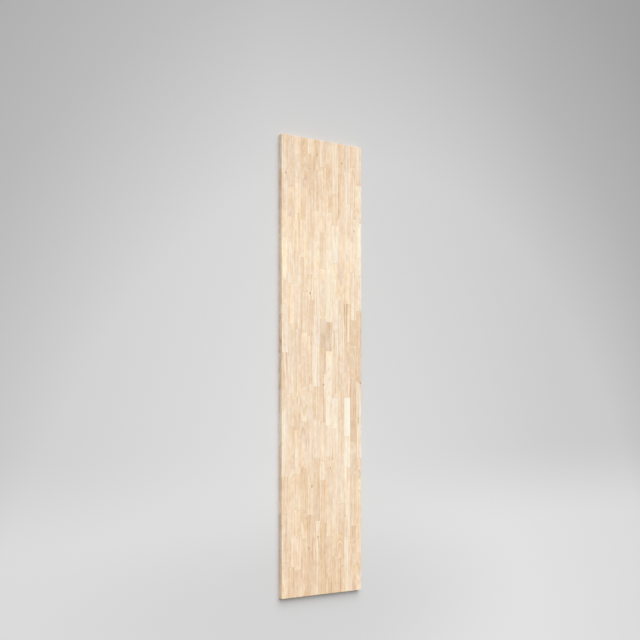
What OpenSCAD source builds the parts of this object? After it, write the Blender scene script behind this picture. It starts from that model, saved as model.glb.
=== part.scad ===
// Butcher block countertop: hardwood staves, finger-jointed end to end into
// strips, and the strips glued edge to edge into one panel.
// X runs along the countertop, Y from its front edge to its back edge, Z up.
// The origin is under the middle of the panel as it lies flat.

/* [Panel] */
// Length of the countertop, end to end
panel_length = 3048; // [900:1:3660]
// Depth of the countertop, front edge to back edge
panel_depth = 635; // [300:1:1000]
// Thickness of the countertop
panel_thickness = 38.1; // [18:0.1:60]
// Radius of the eased edges and corners
eased_radius = 2; // [1:0.5:6]

/* [Strips] */
// Width of a full strip
strip_width = 49.5; // [40:0.5:80]
// Width of the front strip, which is trimmed when the panel is sized
front_strip_width = 47.5; // [25:0.5:80]
// Narrowest back strip that is left on the panel
narrowest_back_strip = 20; // [15:1:35]

/* [Staves] */
// Length of a stave, on average
average_stave = 235; // [160:5:500]
// How far a joint strays from even spacing, as a share of that length
stray_ratio = 0.3; // [0:0.01:0.3]
// Least distance between the joints of two strips that lie side by side
joint_stagger = 20; // [0:1:22]
// Number that picks one arrangement of the joints
arrangement_seed = 492; // [1:1:999]

/* [Finger joints] */
// Length of a finger
finger_length = 10; // [4:0.5:15]
// Distance from one finger to the next, up the thickness
finger_pitch = 3.81; // [3:0.01:8]
// Width of the flat tip of a finger
finger_tip = 0.6; // [0.3:0.1:1]

/* [Hidden] */
// Full strips between the trimmed front strip and the trimmed back strip
full_strips = floor((panel_depth - front_strip_width - narrowest_back_strip) / strip_width);
strip_count = full_strips + 2;

// Every strip has an odd number of staves, so both ends of it are odd staves
stave_count = 2 * floor(panel_length / average_stave / 2) + 1;
stave_spacing = panel_length / stave_count;

// The fingers fill the thickness exactly
finger_count = round(panel_thickness / finger_pitch);
finger_spacing = panel_thickness / finger_count;

$fn = 48;
stave_colours = ["#f3dcc0", "#eccfad", "#f6e3ca", "#e8c6a4", "#f0d6bb"];

// The odd and the even staves of a strip are two nodes, so that staves which
// share a glued joint are never in the same one
turns = ["_odd_staves", "_even_staves"];

// Where a strip begins and ends, measured from the front edge
function strip_front(strip) = strip == 1 ? 0 : front_strip_width + (strip - 2) * strip_width;
function strip_back(strip) = strip == strip_count ? panel_depth : strip_front(strip + 1);

// A joint keeps clear of the joints beside it by moving on past the one it meets
function staggered(x, beside) =
    let (met = [for (other = beside) if (abs(other - x) < joint_stagger) other])
    len(met) == 0 ? x : met[0] + joint_stagger;

// The joints of one strip: evenly spaced, shifted together by up to half a
// stave so that the end pieces vary, and strayed one by one
shifts = rands(-0.5, 0.5, strip_count, arrangement_seed);
strays = rands(-stray_ratio, stray_ratio, strip_count * stave_count, arrangement_seed + 1);

function strip_joints(strip, beside) = [
    for (i = [1 : stave_count - 1])
        let (stray = strays[(strip - 1) * stave_count + i])
        staggered((i + shifts[strip - 1] + stray) * stave_spacing, beside)
];

// The joints of all strips, each strip laid beside the one before it
function laid_up(strip = 1, strips = []) =
    strip > strip_count
        ? strips
        : let (beside = strip == 1 ? [] : strips[strip - 2])
          laid_up(strip + 1, concat(strips, [strip_joints(strip, beside)]));

joints = laid_up();

// The zigzag line of a finger joint at x, from the underside to the top
function finger_line(x) =
    let (root = x - finger_length / 2, tip = x + finger_length / 2, flat = finger_tip / 2)
    [
        [root, 0],
        for (i = [0 : finger_count - 1]) each [
            [root, i * finger_spacing + flat],
            [tip, (i + 0.5) * finger_spacing - flat],
            [tip, (i + 0.5) * finger_spacing + flat],
            [root, (i + 1) * finger_spacing - flat]
        ],
        [root, panel_thickness]
    ];

// The plain sawn line of an end of the panel
function sawn_line(x) = [[x, 0], [x, panel_thickness]];

function reversed(line) = [for (i = [len(line) - 1 : -1 : 0]) line[i]];

// One stave, outlined from the front by the line that it starts on and the
// line that it ends on, through the depth of its strip
module stave(strip, start_line, end_line) {
    translate([-panel_length / 2, strip_back(strip) - panel_depth / 2, 0])
        rotate([90, 0, 0])
            linear_extrude(height = strip_back(strip) - strip_front(strip))
                polygon(concat(start_line, reversed(end_line)));
}

// Rectangle with eased corners, centred
module eased_rectangle(length, width) {
    square([length - 2 * eased_radius, width], center = true);
    square([length, width - 2 * eased_radius], center = true);
    for (x = [-1, 1], y = [-1, 1])
        translate([x * (length / 2 - eased_radius), y * (width / 2 - eased_radius)])
            circle(r = eased_radius);
}

// The outer form of the finished panel, with every edge and corner eased
module eased_panel() {
    translate([0, 0, panel_thickness / 2])
        intersection() {
            linear_extrude(height = panel_thickness, center = true)
                eased_rectangle(panel_length, panel_depth);
            rotate([90, 0, 0])
                linear_extrude(height = panel_depth, center = true)
                    eased_rectangle(panel_length, panel_thickness);
            rotate([90, 0, 90])
                linear_extrude(height = panel_length, center = true)
                    eased_rectangle(panel_depth, panel_thickness);
        }
}

// Every second stave of a strip: turn 0 takes the first, the third and so on
module staves(strip, turn) {
    lines = [
        sawn_line(0),
        for (x = joints[strip - 1]) finger_line(x),
        sawn_line(panel_length)
    ];
    color(stave_colours[(strip + 2 * turn) % len(stave_colours)])
        intersection() {
            for (i = [turn : 2 : stave_count - 1])
                stave(strip, lines[i], lines[i + 1]);
            eased_panel();
        }
}

for (strip = [1 : strip_count], turn = [0, 1])
    staves(strip, turn);
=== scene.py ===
import math

import bpy
import numpy as np
from mathutils import Matrix, Vector


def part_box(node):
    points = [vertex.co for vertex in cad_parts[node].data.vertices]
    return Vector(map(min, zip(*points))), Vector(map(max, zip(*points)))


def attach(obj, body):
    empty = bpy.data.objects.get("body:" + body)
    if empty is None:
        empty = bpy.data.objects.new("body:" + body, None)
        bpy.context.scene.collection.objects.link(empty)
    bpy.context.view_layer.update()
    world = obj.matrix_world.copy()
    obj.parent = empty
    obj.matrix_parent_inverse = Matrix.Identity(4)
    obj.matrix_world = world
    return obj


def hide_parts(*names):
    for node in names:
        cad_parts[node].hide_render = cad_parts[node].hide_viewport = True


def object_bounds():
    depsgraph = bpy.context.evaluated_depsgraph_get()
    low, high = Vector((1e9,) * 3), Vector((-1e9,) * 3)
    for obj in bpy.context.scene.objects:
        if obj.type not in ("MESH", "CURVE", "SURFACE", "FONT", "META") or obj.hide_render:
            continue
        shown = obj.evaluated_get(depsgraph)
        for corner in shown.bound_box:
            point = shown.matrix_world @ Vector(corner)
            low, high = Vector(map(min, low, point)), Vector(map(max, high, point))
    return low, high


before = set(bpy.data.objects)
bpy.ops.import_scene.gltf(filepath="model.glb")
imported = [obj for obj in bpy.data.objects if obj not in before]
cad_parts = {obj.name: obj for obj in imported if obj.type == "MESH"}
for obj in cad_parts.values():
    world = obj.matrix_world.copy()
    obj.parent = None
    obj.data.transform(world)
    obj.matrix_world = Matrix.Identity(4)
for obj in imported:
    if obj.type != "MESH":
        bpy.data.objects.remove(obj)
cadBox = [list(corner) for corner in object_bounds()]
panelLow, panelHigh = np.array(cadBox)
thickness = panelHigh[2] - panelLow[2]
scene = bpy.context.scene
scene.view_settings.view_transform = "Standard"
print("frame loaded:", len(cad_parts), "nodes")


# The camera is level with the ends of the panel and looks down over its front edge
camera = {
    "place": (0.3254, -3.4663, 5.4387),
    "tilt": 32.54,      # degrees from straight down, towards the back edge
    "turn": 90,         # degrees that put the left end at the top of the view
    "lens": 53.70,
    "lift": 0.150,      # how far the panel sits below the middle, as a share of the view
}


def addCamera():
    data = bpy.data.cameras.new("camera")
    data.lens = camera["lens"]
    data.shift_y = camera["lift"]
    data.clip_end = 200
    view = bpy.data.objects.new("camera", data)
    tilt = Matrix.Rotation(math.radians(camera["tilt"]), 4, "X")
    turn = Matrix.Rotation(math.radians(camera["turn"]), 4, "Z")
    view.matrix_world = Matrix.Translation(camera["place"]) @ tilt @ turn
    scene.collection.objects.link(view)
    scene.camera = view


addCamera()
print("camera placed")


def linear(hexColour):
    # A screen colour as the light it stands for, by the sRGB curve
    shades = np.array([int(hexColour[i:i + 2], 16) / 255 for i in (1, 3, 5)])
    light = np.where(shades <= 0.04045, shades / 12.92, ((shades + 0.055) / 1.055) ** 2.4)
    return (*light, 1.0)


class NodeBoard:
    # The nodes of a material or of the world. Each call adds a node, sets or links its
    # sockets by name or number, and gives back the socket that the next node reads.
    def __init__(self, owner):
        owner.use_nodes = True
        self.tree = owner.node_tree
        self.tree.nodes.clear()

    def add(self, kind, output=0, inputs=None, **settings):
        node = self.tree.nodes.new(kind)
        for name, value in settings.items():
            setattr(node, name, value)
        for name, value in (inputs or {}).items():
            if isinstance(value, bpy.types.NodeSocket):
                self.tree.links.new(value, node.inputs[name])
            else:
                node.inputs[name].default_value = value
        return node.outputs[output] if node.outputs else node

    def math(self, operation, *values, clamp=False):
        return self.add("ShaderNodeMath", operation=operation, use_clamp=clamp,
                        inputs=dict(enumerate(values)))

    def total(self, *values):
        result = values[0]
        for value in values[1:]:
            result = self.math("ADD", result, value)
        return result

    def vector(self, operation, *values, output=0):
        return self.add("ShaderNodeVectorMath", output, operation=operation,
                        inputs=dict(enumerate(values)))

    def parts(self, socket):
        return list(self.add("ShaderNodeSeparateXYZ", inputs={0: socket}).node.outputs)

    def attribute(self, name, output="Vector"):
        return self.add("ShaderNodeAttribute", output, attribute_name=name)

    # Noise on a place stretched by a scale per metre
    def noise(self, place, scale, detail=2.0, roughness=0.55):
        stretched = self.vector("MULTIPLY", place, scale)
        return self.add("ShaderNodeTexNoise", "Fac", noise_dimensions="3D", inputs={
            "Vector": stretched, "Scale": 1.0, "Detail": detail, "Roughness": roughness})

    # The same noise as a swing about nothing, its depth either way near a fifth of the last value
    def swing(self, place, scale, depth, detail=2.0, roughness=0.55):
        value = self.noise(place, scale, detail, roughness)
        return self.math("MULTIPLY_ADD", value, depth, -depth / 2)

    # A value carried from one range to another, held at the ends
    def fit(self, value, fromLow, fromHigh, toLow, toHigh, smooth=False):
        kind = "SMOOTHSTEP" if smooth else "LINEAR"
        return self.add("ShaderNodeMapRange", interpolation_type=kind, inputs={
            "Value": value, "From Min": fromLow, "From Max": fromHigh,
            "To Min": toLow, "To Max": toHigh})

    # Marks that come and go: none below the first value of the noise, full past the second
    def marks(self, place, scale, reach, detail=2.0, roughness=0.55):
        return self.fit(self.noise(place, scale, detail, roughness), *reach, 0, 1, True)

    def ramp(self, value, stops):
        socket = self.add("ShaderNodeValToRGB", "Color", inputs={"Fac": value})
        elements = socket.node.color_ramp.elements
        while len(elements) < len(stops):
            elements.new(0.5)
        for element, (position, colour) in zip(elements, stops):
            element.position = position
            element.color = colour
        return socket

    def mixColour(self, blend, amount, first, second):
        # the Mix node numbers its colour sockets 6 and 7, and its colour result 2
        return self.add("ShaderNodeMix", 2, data_type="RGBA", blend_type=blend,
                        inputs={0: amount, 6: first, 7: second})


# The wood is worked out in the log that each stave was sawn from: the first number runs
# along the grain, the other two across it from the pith. Scales are per metre, and depths
# are in steps of tone, of which the colours give the screen shades.
wood = {
    "colours": [(-8, "#c09467"), (-6, "#cfa77b"), (-4, "#dcb893"), (-2, "#e6caa9"),
                (0, "#f1d9be"), (2, "#f8e8d0"), (4, "#fcf2dd"), (6, "#fef8e6")],
    "warmTint": (0.016, 0.007, -0.017),     # what one step of warmth adds to red, green and blue
    "oliveTint": (-0.005, 0.008, -0.004),
    # the tone that each mark adds where it is full; the arris tone is a painted highlight along the eased
    # edges
    "tones": {"lateWood": -2.0, "brownLines": -3.6, "paleLines": 2.2, "flecks": -2.4, "pores": -1.7,
              "knotHalo": -1.3, "endGrain": -2.2, "longEdge": -0.35, "arris": 0.6},
    "lift": 0.33,           # makes up for the marks, most of which are dark
    "longEdgeWarmth": -1.5,     # the long edges are a little darker and cooler
    # swings: the scale, the depth, and how far the noise is broken up
    "bands": ((1.8, 62, 0), 7.0),
    "streaks": ((2.8, 160, 0), 10.6, 4.0, 0.66),
    "fineStreaks": ((5.5, 400, 0), 6.3, 3.0, 0.7),
    "patches": ((7, 14, 14), 2.8),
    "mottle": ((24, 44, 44), 5.0),
    "hues": ((2.4, 120, 0), 17.5),
    "olives": ((2.4, 70, 50), 10.0),
    "pithWander": ((5, 9, 9), 0.007, 1.0),          # in metres, as the next
    "ringWaver": ((22, 60, 60), 0.0016, 1.0),
    "knotOutline": ((60, 160, 160), 0.9),           # in knot radii
    # marks: the scale, where in the noise they begin and are full, and how far it is broken up
    "ringsFade": ((2.0, 110, 0), (0.35, 0.65)),
    "brownLines": ((2.1, 130, 0), (0.57, 0.67), 3.0, 0.6),
    "paleLines": ((2.9, 190, 0), (0.60, 0.70), 3.0, 0.6),
    "flecks": ((34, 230, 230), (0.66, 0.74), 1.0),
    "glueSmears": ((9, 40, 40), (0.56, 0.72)),
    "shift": (3.7, 0.31, 0),        # keeps the lines and hues off the streaks
    "ringWidth": 0.0036,
    "lateWood": (0.25, 0.92),       # where in a ring the wood begins to darken and is darkest
    "boldestRing": 1.4,             # how strong a ring is where it doesn't fade
    "fibres": ((22, 1100, 1100), 3.0, 0.66),
    "fibreDepth": 3.4,
    "poreScale": (50, 480, 480),
    "poreReach": (0.32, 0.12),      # a pore's outline and its bottom, in cells
    "poreless": 0.45,               # share of the cells that have no pore
    "knotSquash": 0.6,              # how wide a knot is for its length
    # the parts of a knot, from and to so many radii
    "knotCore": (0.55, 1.15),
    "knotHalo": (0.8, 2.6),
    "knotSwirl": (0.3, 5.0),
    "swirlDepth": 0.006,            # how far the grain moves aside at a knot
    "knotColour": "#d6b690",
    "glueColour": "#a87b4e",
    "glueStrength": 0.55,
    "glueReach": (0.0001, 0.00035),     # where the glue line begins to fade and ends
    "glueSmear": 0.0014,                # how much farther it reaches where it smeared
    "roughness": 0.56,
    "streakGloss": 0.012,               # how much smoother a pale streak is
    "openGrain": 0.12,                  # how much rougher pores and end grain are
    "specular": 0.3,
    "fibreRelief": 0.5,
    "bumpStrength": 0.35,
    "bumpDepth": 0.0001,
}


def hardwoodMaterial():
    material = bpy.data.materials.new("oiledHardwood")
    board = NodeBoard(material)
    place = board.attribute("logPlace")
    tone, warmth, figure = board.parts(board.attribute("staveLook"))
    stain, rings, gloss = board.parts(board.attribute("staveMarks"))
    arris, endGrain, longEdge = board.parts(board.attribute("surfaceKind"))

    # a knot's disc, and the swirl that pushes the grain aside around it: the knot's radius
    # is nothing on a stave that has none
    knotAlong, knotAcross, knotRadius = board.parts(board.attribute("knotOffset"))
    knotPlace = board.add("ShaderNodeCombineXYZ", inputs={
        0: board.math("MULTIPLY", knotAlong, wood["knotSquash"]), 1: knotAcross})
    fromKnot = board.vector("LENGTH", knotPlace, output="Value")
    fromKnot = board.math("DIVIDE", fromKnot, board.math("MAXIMUM", knotRadius, 0.0001))
    fromKnot = board.math("ADD", fromKnot, board.swing(place, *wood["knotOutline"]))
    hasKnot = board.math("GREATER_THAN", knotRadius, 0.0002)
    knotCore = board.math("MULTIPLY", hasKnot, board.fit(fromKnot, *wood["knotCore"], 1, 0, True))
    knotHalo = board.math("MULTIPLY", hasKnot, board.fit(fromKnot, *wood["knotHalo"], 1, 0, True))
    swirl = board.fit(fromKnot, *wood["knotSwirl"], wood["swirlDepth"], 0, True)
    swirl = board.math("MULTIPLY", hasKnot, swirl)

    # growth rings lie at even distances from the pith, which wanders, and each one
    # darkens slowly and ends at once
    away = board.vector("LENGTH", board.vector("MULTIPLY", place, (0, 1, 1)), output="Value")
    away = board.total(away, board.swing(place, *wood["pithWander"]), swirl,
                       board.swing(place, *wood["ringWaver"]))
    along = board.parts(place)[0]
    grain = board.add("ShaderNodeCombineXYZ", inputs={0: along, 1: away})
    ring = board.math("FRACT", board.math("DIVIDE", away, wood["ringWidth"]))
    lateStart, lateEnd = wood["lateWood"]
    lateWood = board.math("MULTIPLY", board.fit(ring, lateStart, lateEnd, 0, 1, True),
                          board.fit(ring, lateEnd, 1, 1, 0))
    scale, reach = wood["ringsFade"]
    fade = board.fit(board.noise(grain, scale), *reach, 0, wood["boldestRing"])
    lateWood = board.math("MULTIPLY", board.math("MULTIPLY", lateWood, fade), rings)

    # streaks and lines follow the rings, and flecks, fibres and pores lie along the log
    streaks = board.total(board.swing(grain, *wood["bands"]), board.swing(grain, *wood["streaks"]),
                          board.swing(grain, *wood["fineStreaks"]))
    shifted = board.vector("ADD", grain, wood["shift"])
    brownLines = board.marks(shifted, *wood["brownLines"])
    paleLines = board.marks(shifted, *wood["paleLines"])
    flecks = board.marks(place, *wood["flecks"])
    fibres = board.noise(place, *wood["fibres"])
    poreCells = board.add("ShaderNodeTexVoronoi", "Distance", inputs={
        "Vector": board.vector("MULTIPLY", place, wood["poreScale"]), "Scale": 1.0})
    poreLuck = board.add("ShaderNodeSeparateColor", inputs={0: poreCells.node.outputs["Color"]})
    pores = board.math("MULTIPLY", board.fit(poreCells, *wood["poreReach"], 0, 1, True),
                       board.math("GREATER_THAN", poreLuck, wood["poreless"]))

    # the tone is the stave's own, with all of these added
    marks = {
        "lateWood": lateWood,
        "brownLines": board.math("MULTIPLY", brownLines, stain),
        "paleLines": board.math("MULTIPLY", paleLines, figure),
        "flecks": board.math("MULTIPLY", flecks, stain),
        "pores": pores,
        "knotHalo": knotHalo,
        "endGrain": endGrain,
        "longEdge": longEdge,
        # painted highlight: the eased edges are made lighter
        "arris": arris,
    }
    tone = board.total(
        board.math("ADD", tone, wood["lift"]), board.math("MULTIPLY", streaks, figure),
        board.swing(place, *wood["patches"]), board.swing(place, *wood["mottle"]),
        board.math("MULTIPLY_ADD", fibres, wood["fibreDepth"], -wood["fibreDepth"] / 2),
        *[board.math("MULTIPLY", mark, wood["tones"][name]) for name, mark in marks.items()])
    darkest, palest = wood["colours"][0][0], wood["colours"][-1][0]
    stops = [((step - darkest) / (palest - darkest), linear(colour)) for step, colour in wood["colours"]]
    colour = board.ramp(board.fit(tone, darkest, palest, 0, 1), stops)
    warmth = board.total(warmth, board.swing(shifted, *wood["hues"]),
                         board.math("MULTIPLY", longEdge, wood["longEdgeWarmth"]))
    olive = board.swing(shifted, *wood["olives"])
    tint = board.vector("MULTIPLY_ADD", wood["oliveTint"], olive, (1, 1, 1))
    tint = board.vector("MULTIPLY_ADD", wood["warmTint"], warmth, tint)
    colour = board.vector("MULTIPLY", colour, tint)
    colour = board.mixColour("MULTIPLY", knotCore, colour, linear(wood["knotColour"]))

    # thin glue lines along the joints
    joints = board.attribute("jointDistances", "Color")
    nearest = joints.node.outputs["Alpha"]
    for distance in board.add("ShaderNodeSeparateColor", inputs={0: joints}).node.outputs:
        nearest = board.math("MINIMUM", nearest, distance)
    scale, reach = wood["glueSmears"]
    smear = board.fit(board.noise(place, scale), *reach, 0, wood["glueSmear"])
    glueStart, glueEnd = wood["glueReach"]
    glue = board.fit(nearest, glueStart, board.math("ADD", smear, glueEnd), wood["glueStrength"], 0, True)
    colour = board.mixColour("MULTIPLY", glue, colour, linear(wood["glueColour"]))

    roughness = board.total(board.math("MULTIPLY_ADD", streaks, -wood["streakGloss"], wood["roughness"]),
                            board.math("MULTIPLY", pores, wood["openGrain"]),
                            board.math("MULTIPLY", endGrain, wood["openGrain"]), gloss)
    relief = board.math("SUBTRACT", board.math("MULTIPLY", fibres, wood["fibreRelief"]), pores)
    bump = board.add("ShaderNodeBump", "Normal", inputs={
        "Strength": wood["bumpStrength"], "Distance": wood["bumpDepth"], "Height": relief})
    shader = board.add("ShaderNodeBsdfPrincipled", "BSDF", inputs={
        "Base Color": colour, "Roughness": roughness, "Normal": bump,
        "Specular IOR Level": wood["specular"]})
    board.add("ShaderNodeOutputMaterial", inputs={"Surface": shader})
    return material


hardwood = hardwoodMaterial()
print("wood mixed")


staves = {
    "easing": 0.002,        # radius of the eased edges and corners of the panel
    "easingSteps": 3,       # facets from the flat to the middle of an eased edge
    "sharpFrom": 30,        # degrees between two faces whose edge stays sharp
    "fingers": 10,          # fingers in a joint, up the thickness
    "fingerTip": 0.0006,    # flat tip of a finger
    "clear": 0.03,          # from a joint to the next line across the stave
    "closeBy": 0.0001,      # places no farther apart than this are one
    "seed": 8067,           # picks one batch of staves
    "toneSpread": 0.43,
    "warmthSpread": 0.6,
    "likeness": 0.6,        # how far a stave takes after the one before it
    "flatSawnShare": 0.2,
    # how a stave is sawn: how far its pith lies across and up from its middle, and how far
    # that strays along each metre of it, and how strong its figure and its stains are
    "flatSawn": {"across": (-0.012, 0.012), "up": (0.028, 0.05), "strayAcross": (-0.03, 0.03),
                 "strayUp": (0.03, 0.09), "figure": (0.5, 0.9), "mostStain": 0.4},
    "quarterSawn": {"across": (0.045, 0.12), "up": (-0.03, 0.03), "stray": 0.008,
                    "mostStray": 0.09, "figureSpread": 0.28, "mostStain": 1.3},
    "logLength": 40,        # staves come from anywhere along it
    "rings": (0.1, 1.0),    # how strongly the growth rings show
    "gloss": (-0.03, 0.03),
    # how the tone and warmth change along the panel, darkest near the right end: the distance from the
    # left end, the tone and the warmth
    "drift": [(0.1, -0.4, -0.4), (0.5, 0.7, 0.45), (0.8, 0.8, 0.3), (1.25, -0.3, -0.6),
              (1.6, -0.2, -0.4), (1.95, 0.5, -0.4), (2.3, -0.1, 0.3), (3.0, -0.8, 0.45)],
    # kinds of stave that stand out, and where they are laid: the strip, counted from the
    # front, and a distance from the left end that falls on the stave
    "kinds": {
        "cream": {"tone": 3.3, "warmth": -0.8, "figure": 1.2, "stain": 0, "at": [(11, 1.85)]},
        "ivory": {"tone": 2.4, "warmth": -0.4, "figure": 1.0, "stain": 0, "at": [(11, 2.1)]},
        "pale": {"tone": 1.3, "warmth": 0.0, "figure": 1.0, "stain": 0, "at": [
            (6, 0.6), (6, 2.0), (8, 0.6), (8, 0.85), (8, 1.1), (8, 1.55), (9, 0.7),
            (9, 0.95), (9, 1.85), (11, 0.7), (13, 0.4), (13, 0.85)]},
        "tan": {"tone": -1.5, "warmth": 0.2, "figure": 1.0, "stain": 0, "at": [
            (2, 2.95), (4, 0.2), (4, 2.35), (5, 0.25), (6, 0.1), (6, 2.2), (6, 2.4), (6, 2.7),
            (7, 2.45), (10, 0.1), (10, 2.55), (10, 2.75), (12, 0.1), (12, 2.9), (13, 1.25)]},
        "grey": {"tone": -2.0, "warmth": -1.4, "figure": 0.8, "stain": 0, "at": [
            (7, 1.3), (8, 1.3), (12, 1.75), (12, 1.95), (13, 1.5)]},
        "brown": {"tone": -2.2, "warmth": 0.2, "figure": 1.0, "stain": 0.2, "at": [
            (5, 2.6), (5, 2.85), (7, 2.7), (7, 2.95), (8, 0.15), (8, 3.0), (9, 2.9),
            (10, 2.95), (12, 1.3), (12, 2.65)]},
        "streaky": {"tone": -0.5, "warmth": 0.6, "figure": 1.7, "stain": 1.0, "at": [
            (5, 0.05), (5, 1.0), (5, 1.45), (11, 1.2), (13, 1.75)]},
    },
    "ownTone": 0.3,         # how much of its own tone and warmth such a stave keeps
    "ownWarmth": 0.5,
    # knots: the strip, the distance from the left end, and the radius
    "knots": [(1, 0.25, 0.005), (5, 0.2, 0.0025), (5, 1.03, 0.005), (5, 2.32, 0.0055), (5, 2.73, 0.004),
              (6, 0.1, 0.0042), (6, 2.66, 0.004), (7, 1.64, 0.005), (8, 2.2, 0.0036), (10, 0.13, 0.0036),
              (10, 2.87, 0.003), (12, 0.58, 0.0038), (13, 1.62, 0.0055)],
    "knotAcross": (-0.3, 0.3),      # from the middle of the strip, in strip widths
}


def staveSpans(nodeName):
    # The stretches along X that a node's triangles cover, one for each stave: the triangles
    # are sorted by where they begin, and a stave ends where none of them reaches the next
    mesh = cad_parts[nodeName].data
    points = np.empty(3 * len(mesh.vertices), np.float32)
    mesh.vertices.foreach_get("co", points)
    corners = np.empty(len(mesh.loops), np.int32)
    mesh.loops.foreach_get("vertex_index", corners)
    along = points[0::3][corners].reshape(-1, 3)
    along = along[np.argsort(along.min(1))]
    reach = np.maximum.accumulate(along.max(1))
    gaps = np.flatnonzero(along.min(1)[1:] > reach[:-1] + staves["closeBy"]) + 1
    first = np.concatenate([[0], gaps])
    last = np.concatenate([gaps, [len(along)]]) - 1
    return np.column_stack([along.min(1)[first], reach[last]])


def fingerTurns():
    # The heights at which one finger turns, from one root to the next: half a flat root, the
    # rise, the flat tip about half the pitch, the fall, and half a flat root
    pitch = thickness / staves["fingers"]
    flat = staves["fingerTip"] / 2
    return pitch, np.array([0, flat, pitch / 2 - flat, pitch / 2 + flat, pitch - flat, pitch])


def fingerReach(height):
    # How far the fingers reach past the joint's line at a height: from 0 to 1 and back once
    # in each pitch, straight from turn to turn
    pitch, turns = fingerTurns()
    return np.interp(height % pitch, turns, [0, 0, 1, 1, 0, 0])


def easedLines(low, high):
    # Lines over an eased edge at low and at high: at each step of the angle from the flat,
    # the distance from the corner is the radius times one less the angle's tangent, and one
    # more line lies half a radius on
    angles = np.linspace(0, math.pi / 4, staves["easingSteps"] + 1)
    fromEdge = staves["easing"] * (1 - np.tan(angles))[::-1]
    fromEdge = np.append(fromEdge, 1.5 * staves["easing"])
    return low + fromEdge, high - fromEdge


def easePoints(points):
    # Rounds the panel's outer edges: a point's offset from the inner box keeps its
    # direction, and its length becomes its largest part, which turns squares to circles
    inner = np.clip(points, panelLow + staves["easing"], panelHigh - staves["easing"])
    offset = points - inner
    length = np.linalg.norm(offset, axis=1, keepdims=True)
    largest = np.abs(offset).max(1, keepdims=True)
    direction = offset / np.maximum(length, 1e-9)
    return inner + direction * largest, direction


def boxSkin(xLines, yLines, zLines):
    # The skin of a box as six grids, each over two of its three coordinates, whose points
    # on shared edges are one
    counts = (len(xLines), len(yLines), len(zLines))
    index = np.arange(np.prod(counts)).reshape(counts)
    grids = [index[0].T, index[-1], index[:, 0], index[:, -1].T, index[:, :, 0].T, index[:, :, -1]]
    quads = [np.stack([grid[:-1, :-1], grid[1:, :-1], grid[1:, 1:], grid[:-1, 1:]], -1).reshape(-1, 4)
             for grid in grids]
    used, faces = np.unique(np.concatenate(quads), return_inverse=True)
    columns, rows, levels = np.unravel_index(used, counts)
    points = np.column_stack([xLines[columns], yLines[rows], zLines[levels]])
    return points, faces.reshape(-1, 4), columns


def buildStave(start, end, front, back, fingerLength, look):
    # The skin of a box between the stave's joints, with lines over its eased edges and at
    # every turn of the fingers: its jointed ends move along X by the reach of the fingers
    # at each height, and each point keeps its place in the log and its distances from the joints
    closeBy = staves["closeBy"]
    atLeft = start < panelLow[0] + closeBy
    atRight = end > panelHigh[0] - closeBy
    atFront = front < panelLow[1] + closeBy
    atBack = back > panelHigh[1] - closeBy
    easedLeft, easedRight = easedLines(panelLow[0], panelHigh[0])
    easedFront, easedBack = easedLines(panelLow[1], panelHigh[1])
    pitch, turns = fingerTurns()
    fingerZ = panelLow[2] + (np.arange(staves["fingers"])[:, None] * pitch + turns[:-1]).ravel()
    xLines = np.unique(np.concatenate([
        easedLeft if atLeft else [start, start + staves["clear"]],
        easedRight if atRight else [end - staves["clear"], end]]))
    yLines = np.unique(np.concatenate([
        easedFront if atFront else [front],
        easedBack if atBack else [back]]))
    zLines = np.unique(np.concatenate([*easedLines(panelLow[2], panelHigh[2]), fingerZ]).round(7))

    flatPoints, faces, columns = boxSkin(xLines, yLines, zLines)
    points, direction = easePoints(flatPoints)
    x, y, z = points.T
    farOff = np.full(len(points), 1.0)
    fromStart = farOff if atLeft else x - start
    fromEnd = farOff if atRight else end - x
    fromFront = farOff if atFront else y - front
    fromBack = farOff if atBack else back - y
    jointed = np.zeros(len(points), bool)
    if not atLeft:
        jointed |= columns == 0
    if not atRight:
        jointed |= columns == len(xLines) - 1
    points[:, 0] += np.where(jointed, fingerLength * fingerReach(z - panelLow[2]), 0)

    # the arris is 0 where a face is flat and 1 along the middle of an eased edge, where the wood gets a
    # painted highlight
    outer = np.abs(direction)
    arris = np.where(outer.sum(1) > 0, (outer.sum(1) - 1) / (math.sqrt(2) - 1), 0)
    local = points - [(start + end) / 2, (front + back) / 2, thickness / 2]
    count = len(points)
    return {
        "points": points,
        "faces": faces,
        "jointDistances": np.column_stack([fromStart, fromEnd, fromFront, fromBack]),
        "logPlace": np.column_stack([
            local[:, 0] + look["along"],
            local[:, 1] + look["pith"][0] + look["stray"][0] * local[:, 0],
            local[:, 2] + look["pith"][1] + look["stray"][1] * local[:, 0]]),
        "staveLook": np.tile([look["tone"], look["warmth"], look["figure"]], (count, 1)),
        "staveMarks": np.tile([look["stain"], look["rings"], look["gloss"]], (count, 1)),
        "knotOffset": np.column_stack([
            x - look["knot"][0], y - look["knot"][1], np.full(count, look["knot"][2])]),
        "surfaceKind": np.column_stack([np.clip(arris, 0, 1), outer[:, 0], outer[:, 1]]),
    }


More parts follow.
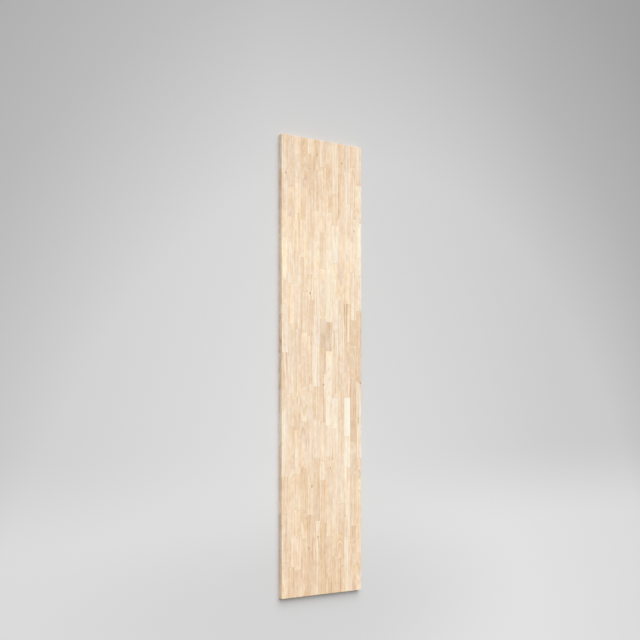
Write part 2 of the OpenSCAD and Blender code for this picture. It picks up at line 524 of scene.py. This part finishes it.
def joinStaves(name, parts):
    # One mesh of several staves: their points follow each other, and the faces of each
    # count on from the points before it
    sizes = [len(part["points"]) for part in parts]
    firsts = np.concatenate([[0], np.cumsum(sizes)[:-1]])
    faces = np.concatenate([part["faces"] + first for part, first in zip(parts, firsts)])
    mesh = bpy.data.meshes.new(name)
    mesh.from_pydata(np.concatenate([part["points"] for part in parts]).tolist(), [], faces.tolist())
    for layerName in ("logPlace", "staveLook", "staveMarks", "knotOffset", "surfaceKind"):
        layer = mesh.attributes.new(layerName, "FLOAT_VECTOR", "POINT")
        layer.data.foreach_set("vector", np.concatenate([part[layerName] for part in parts]).ravel())
    layer = mesh.attributes.new("jointDistances", "FLOAT_COLOR", "POINT")
    layer.data.foreach_set("color", np.concatenate([part["jointDistances"] for part in parts]).ravel())
    mesh.shade_smooth()
    mesh.set_sharp_from_angle(angle=math.radians(staves["sharpFrom"]))
    mesh.materials.append(hardwood)
    piece = bpy.data.objects.new(name, mesh)
    scene.collection.objects.link(piece)
    return piece


def drawLook(draws, strip, start, end, front, back, lastTone):
    # Where in a log the stave was sawn, and how it looks. A flat sawn one has its pith just
    # over or under it, and a quarter sawn one has it beside it and is straighter grained.
    if draws.uniform() < staves["flatSawnShare"]:
        sawn = staves["flatSawn"]
        pith = (draws.uniform(*sawn["across"]), draws.choice([-1, 1]) * draws.uniform(*sawn["up"]))
        stray = (draws.uniform(*sawn["strayAcross"]),
                 draws.choice([-1, 1]) * draws.uniform(*sawn["strayUp"]))
        figure = draws.uniform(*sawn["figure"])
    else:
        sawn = staves["quarterSawn"]
        pith = (draws.choice([-1, 1]) * draws.uniform(*sawn["across"]), draws.uniform(*sawn["up"]))
        stray = np.clip(draws.standard_t(3, 2) * sawn["stray"], -sawn["mostStray"], sawn["mostStray"])
        figure = math.exp(draws.normal(0, sawn["figureSpread"]))
    fromLeft = (start - panelLow[0], end - panelLow[0])
    places, driftTones, driftWarmths = zip(*staves["drift"])
    driftTone = np.interp(sum(fromLeft) / 2, places, driftTones)
    driftWarmth = np.interp(sum(fromLeft) / 2, places, driftWarmths)
    ownTone = draws.normal(0, staves["toneSpread"])
    look = {
        "pith": pith,
        "stray": stray,
        "along": draws.uniform(0, staves["logLength"]),
        "tone": driftTone + staves["likeness"] * (lastTone - driftTone) + ownTone,
        "warmth": driftWarmth + draws.normal(0, staves["warmthSpread"]),
        "figure": figure,
        "stain": sawn["mostStain"] * draws.uniform(0, 1) ** 2,
        "rings": draws.uniform(*staves["rings"]),
        "gloss": draws.uniform(*staves["gloss"]),
        "knot": (0, 0, 0),
    }
    for kind in staves["kinds"].values():
        if any(strip == laidStrip and fromLeft[0] <= place < fromLeft[1]
               for laidStrip, place in kind["at"]):
            look["tone"] = kind["tone"] + staves["ownTone"] * ownTone
            look["warmth"] = kind["warmth"] + staves["ownWarmth"] * look["warmth"]
            look["figure"] *= kind["figure"]
            look["stain"] += kind["stain"]
    knotY = (front + back) / 2 + draws.uniform(*staves["knotAcross"]) * (back - front)
    for knotStrip, place, radius in staves["knots"]:
        if strip == knotStrip and fromLeft[0] <= place < fromLeft[1]:
            look["knot"] = (panelLow[0] + place, knotY, radius)
    return look


stripCount = len(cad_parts) // 2
draws = np.random.default_rng(staves["seed"])
for strip in range(1, stripCount + 1):
    nodeNames = [f"strip_{strip:02d}_{turn}_staves" for turn in ("odd", "even")]
    pieceNames = [f"strip{strip:02d}{turn}Staves" for turn in ("Odd", "Even")]
    spans = np.concatenate([staveSpans(nodeName) for nodeName in nodeNames])
    spans = spans[np.argsort(spans[:, 0])]
    starts = spans[:, 0]
    ends = np.append(starts[1:], spans[-1, 1])
    fingerLength = spans[0, 1] - starts[1]
    (_, front, _), (_, back, _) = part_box(nodeNames[0])
    parts = []
    lastTone = 0
    for start, end in zip(starts, ends):
        look = drawLook(draws, strip, start, end, front, back, lastTone)
        lastTone = look["tone"]
        parts.append(buildStave(start, end, front, back, fingerLength, look))
    for turn in (0, 1):
        piece = joinStaves(pieceNames[turn], parts[turn::2])
        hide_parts(nodeNames[turn])
        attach(piece, "root")
print("staves laid:", stripCount, "strips")


studio = {
    "floorRings": (1, 4, 12, 40),
    "floorTurns": 96,
    "floorLift": 0.0004,           # keeps the underside of the panel clear of the floor
    # a painted pool of light on the floor, past the right end of the panel: its middle, what a
    # metre along the panel counts for, and the screen colour at each distance from the middle
    "paintedLightPoolMiddle": (3.25, 0.56),
    "paintedLightPoolScale": 0.64,
    "paintedLightPoolColours": [(1.8, "#dedede"), (2.4, "#dbdbdb"), (3.0, "#d8d8d8"), (3.8, "#c1c1c1"),
                    (4.6, "#b1b1b1"), (5.4, "#a6a6a6"), (6.6, "#a0a0a0")],
    "paintedLightPoolFold": (2.1, 0.3),        # past here along the panel it is mirrored, with a soft fold
    # to the sides of the panel: the line it spreads from, how far, and where it fades out
    # along the panel
    "sideShade": "#ececec",
    "sideShadeLine": -0.39,
    "sideShadeReach": (-0.36, 2.6),
    "sideShadeFade": (0.48, 1.17),
    # just past the right end: its middle, what a metre each way counts for, and its reach
    "endShade": "#f1f1f1",
    "endShadeMiddle": (1.65, -0.25, 0),
    "endShadeScale": (1.2, 0.5, 0),
    "endShadeReach": (0.2, 1.1),
    "sky": 0.415,
    "backdrop": "#a0a0a0",
    "sunStrength": 0.62,
    "sunFrom": (-1.05, 0.0, 1.0),
    "sunSoftness": 64,             # degrees across
}


def floorMaterial():
    material = bpy.data.materials.new("floorPaper")
    board = NodeBoard(material)
    place = board.add("ShaderNodeTexCoord", "Object")
    along, aside, _ = board.parts(place)

    # the painted pool of light goes by the distance from its middle, and past the fold it is mirrored
    fold, softness = studio["paintedLightPoolFold"]
    scale = studio["paintedLightPoolScale"]
    past = board.vector("LENGTH", board.add("ShaderNodeCombineXYZ", inputs={
        0: board.math("SUBTRACT", along, fold), 1: softness}), output="Value")
    fromPaintedLightPool = board.add("ShaderNodeCombineXYZ", inputs={
        0: board.math("MULTIPLY_ADD", past, -scale, (fold - studio["paintedLightPoolMiddle"][0]) * scale),
        1: board.math("SUBTRACT", aside, studio["paintedLightPoolMiddle"][1])})
    fromPaintedLightPool = board.vector("LENGTH", fromPaintedLightPool, output="Value")
    nearest, farthest = studio["paintedLightPoolColours"][0][0], studio["paintedLightPoolColours"][-1][0]
    stops = [((step - nearest) / (farthest - nearest), linear(shade))
             for step, shade in studio["paintedLightPoolColours"]]
    colour = board.ramp(board.fit(fromPaintedLightPool, nearest, farthest, 0, 1), stops)

    # a little darker to the sides of the panel, and slightly beside its right end
    side = board.math("ABSOLUTE", board.math("SUBTRACT", aside, studio["sideShadeLine"]))
    side = board.math("MULTIPLY", board.fit(side, *studio["sideShadeReach"], 0, 1),
                      board.fit(along, *studio["sideShadeFade"], 1, 0, True))
    colour = board.mixColour("MULTIPLY", side, colour, linear(studio["sideShade"]))
    end = board.vector("SUBTRACT", place, studio["endShadeMiddle"])
    end = board.vector("MULTIPLY", end, studio["endShadeScale"])
    end = board.vector("LENGTH", end, output="Value")
    end = board.fit(end, *studio["endShadeReach"], 1, 0, True)
    colour = board.mixColour("MULTIPLY", end, colour, linear(studio["endShade"]))
    colour = board.mixColour("LIGHTEN", 1.0, colour, linear(studio["backdrop"]))
    shader = board.add("ShaderNodeBsdfPrincipled", "BSDF", inputs={
        "Base Color": colour, "Roughness": 1.0, "Specular IOR Level": 0.0})
    board.add("ShaderNodeOutputMaterial", inputs={"Surface": shader})
    return material


def addFloor():
    # Rings of points about the middle: radius times the cosine and sine of a turn
    turns = np.linspace(0, 2 * math.pi, studio["floorTurns"], endpoint=False)
    radii = np.array(studio["floorRings"])
    x = radii[:, None] * np.cos(turns)
    y = radii[:, None] * np.sin(turns)
    points = np.column_stack([x.ravel(), y.ravel(), np.full(x.size, studio["floorLift"])])
    index = np.arange(x.size).reshape(x.shape)
    after = np.roll(index, -1, axis=1)
    rings = np.stack([index[:-1], index[1:], after[1:], after[:-1]], -1).reshape(-1, 4)
    mesh = bpy.data.meshes.new("floor")
    mesh.from_pydata(points.tolist(), [], rings.tolist() + [index[0].tolist()])
    mesh.materials.append(floorMaterial())
    floor = bpy.data.objects.new("floor", mesh)
    scene.collection.objects.link(floor)


def addLight():
    # the sky lights everything evenly, and is seen and mirrored as a grey backdrop that is as
    # bright as a floor of its colour
    world = bpy.data.worlds.new("studio")
    scene.world = world
    board = NodeBoard(world)
    rays = board.add("ShaderNodeLightPath").node
    seen = board.math("MAXIMUM", rays.outputs["Is Camera Ray"], rays.outputs["Is Glossy Ray"])
    seen = board.math("MAXIMUM", seen, rays.outputs["Is Transmission Ray"])
    sky = board.add("ShaderNodeBackground", inputs={"Color": (1, 1, 1, 1), "Strength": studio["sky"]})
    backdrop = board.add("ShaderNodeBackground", inputs={
        "Color": linear(studio["backdrop"]), "Strength": studio["sky"] + studio["sunStrength"]})
    mixed = board.add("ShaderNodeMixShader", inputs={0: seen, 1: sky, 2: backdrop})
    board.add("ShaderNodeOutputWorld", inputs={"Surface": mixed})

    # a wide, soft sun, whose strength is what it gives to a level surface
    data = bpy.data.lights.new("sun", "SUN")
    direction = Vector(studio["sunFrom"]).normalized()
    data.energy = math.pi * studio["sunStrength"] / direction.z
    data.angle = math.radians(studio["sunSoftness"])
    sun = bpy.data.objects.new("sun", data)
    sun.rotation_mode = "QUATERNION"
    sun.rotation_quaternion = direction.to_track_quat("Z", "Y")
    scene.collection.objects.link(sun)


addFloor()
addLight()
print("floor and light set")
